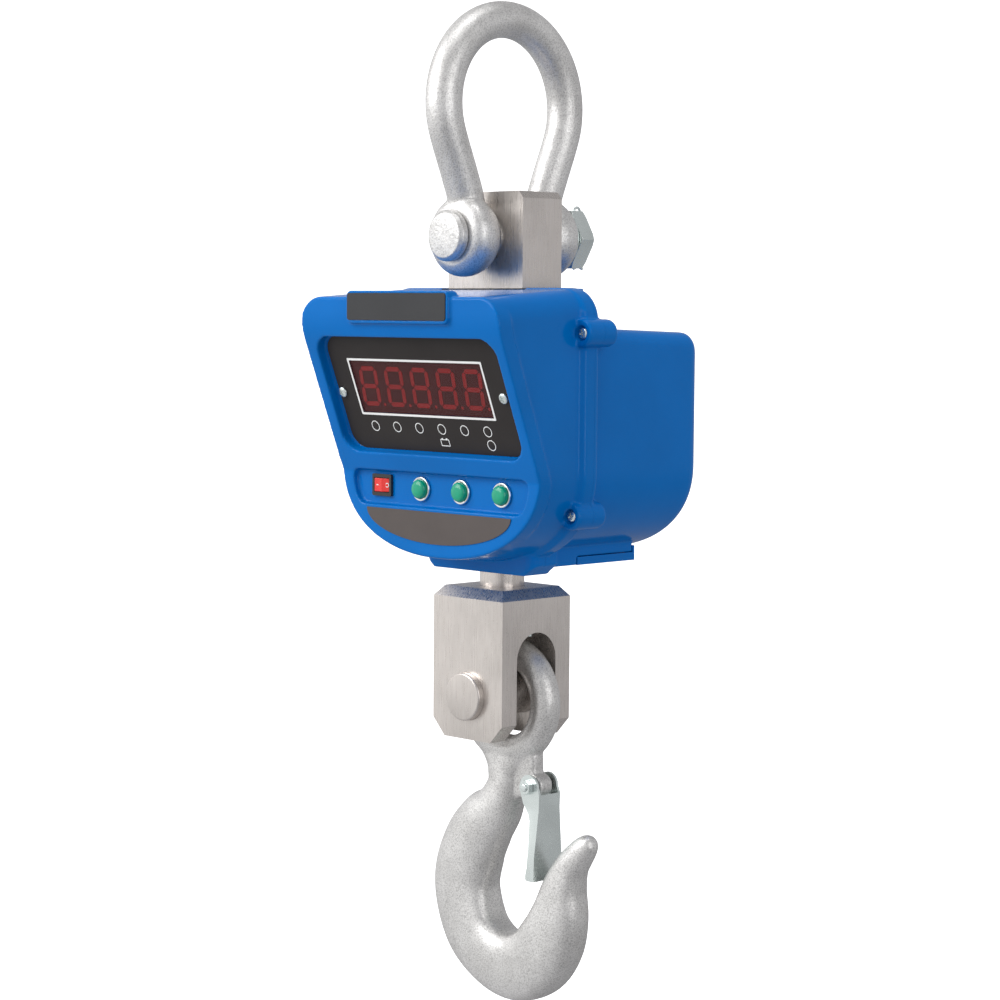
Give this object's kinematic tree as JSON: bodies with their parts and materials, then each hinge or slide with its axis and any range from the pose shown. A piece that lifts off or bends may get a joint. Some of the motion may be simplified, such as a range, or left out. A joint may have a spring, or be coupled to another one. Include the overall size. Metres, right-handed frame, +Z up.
{
  "type": "crane scale",
  "caption": "Hanging crane scale: bow shackle and load cell over a shield-shaped case with a tilted red digit display, and a swivelling hook with a safety latch below.",
  "frame": {"origin": "inside top of the shackle bow, where a crane's hook bears", "axes": "+Z up, -Y towards the display side, +X to the right seen from the display"},
  "size_m": [0.228, 0.226, 0.7415],
  "materials": {
    "galvanised_steel": "hot-dip galvanised, speckled, satin",
    "machined_steel": "machined, fine satin grain",
    "zinc_steel": "bright zinc plate",
    "blue_case": "die cast, glossy blue coat",
    "black_film": "satin printed film",
    "grey_film": "satin grey film",
    "lens": "smoked red clear lens",
    "red_segments": "red segment display",
    "red_plastic": "glossy red",
    "green_plastic": "glossy green",
    "chrome": "polished chrome plate",
    "black_plastic": "moulded black",
    "circuit_board": "green solder mask",
    "rubber": "matt black rubber"
  },
  "bodies": {
    "shackle": {"shackle_bow": "galvanised_steel", "shackle_pin": "galvanised_steel", "shackle_washer": "zinc_steel", "shackle_nut": "zinc_steel", "cotter_pin": "zinc_steel"},
    "scale_body": {"load_cell": "machined_steel", "front_gauge_cover": "machined_steel", "rear_gauge_cover": "machined_steel", "thrust_bearing": "machined_steel", "left_label_screw": "zinc_steel", "right_label_screw": "zinc_steel", "left_cover_screw": "zinc_steel", "right_cover_screw": "zinc_steel", "upper_right_case_screw": "zinc_steel", "upper_left_case_screw": "zinc_steel", "lower_right_case_screw": "zinc_steel", "lower_left_case_screw": "zinc_steel", "front_case": "blue_case", "rear_case": "blue_case", "battery_cover": "blue_case", "display_label": "black_film", "capacity_plate": "grey_film", "control_label": "grey_film", "display_window": "lens", "digit_1": "red_segments", "digit_2": "red_segments", "digit_3": "red_segments", "digit_4": "red_segments", "digit_5": "red_segments", "units_button_bezel": "chrome", "hold_button_bezel": "chrome", "zero_button_bezel": "chrome", "rocker_bezel": "black_plastic", "charge_socket": "black_plastic", "battery": "black_plastic", "display_board": "circuit_board", "main_board": "circuit_board", "right_gasket": "rubber", "left_gasket": "rubber", "top_seal": "rubber", "shaft_seal": "rubber"},
    "hook_block": {"hook_block": "machined_steel", "swivel_shaft": "machined_steel", "swivel_nut": "zinc_steel", "nut_lock_pin": "zinc_steel", "shaft_lock_pin": "zinc_steel", "clevis_pin": "machined_steel", "clevis_pin_clip": "zinc_steel"},
    "hook": {"hook": "galvanised_steel", "latch_bolt": "zinc_steel", "latch_nut": "zinc_steel", "latch_spring": "zinc_steel"},
    "latch": {"latch": "zinc_steel"},
    "power_rocker": {"power_rocker": "red_plastic"},
    "units_button": {"units_button": "green_plastic"},
    "hold_button": {"hold_button": "green_plastic"},
    "zero_button": {"zero_button": "green_plastic"}
  },
  "joints": [
    {"name": "shackle_swing", "type": "hinge", "parent": "shackle", "child": "scale_body", "pos_m": [0, 0, -0.1454], "axis": [0, 1, 0], "range_deg": [-90, 90]},
    {"name": "hook_block_swivel", "type": "hinge", "parent": "scale_body", "child": "hook_block", "pos_m": [0, 0, -0.39], "axis": [0, 0, 1], "continuous": true},
    {"name": "hook_swing", "type": "hinge", "parent": "hook_block", "child": "hook", "pos_m": [0, 0, -0.4826], "axis": [0, 1, 0], "range_deg": [-40, 40]},
    {"name": "latch_pivot", "type": "hinge", "parent": "hook", "child": "latch", "pos_m": [0.0343, 0.006, -0.5495], "axis": [0, 1, 0], "range_deg": [0, 36], "stiffness_Nm_per_rad": 0.08, "springref_deg": -20.05},
    {"name": "power_rocker_tilt", "type": "hinge", "parent": "scale_body", "child": "power_rocker", "pos_m": [-0.06255, -0.061, -0.3286], "axis": [0, 0, 1], "range_deg": [-18, 0]},
    {"name": "units_button_press", "type": "slide", "parent": "scale_body", "child": "units_button", "axis": [0, 1, 0], "range_m": [0, 0.0025], "stiffness_N_per_m": 400},
    {"name": "hold_button_press", "type": "slide", "parent": "scale_body", "child": "hold_button", "axis": [0, 1, 0], "range_m": [0, 0.0025], "stiffness_N_per_m": 400},
    {"name": "zero_button_press", "type": "slide", "parent": "scale_body", "child": "zero_button", "axis": [0, 1, 0], "range_m": [0, 0.0025], "stiffness_N_per_m": 400}
  ]
}
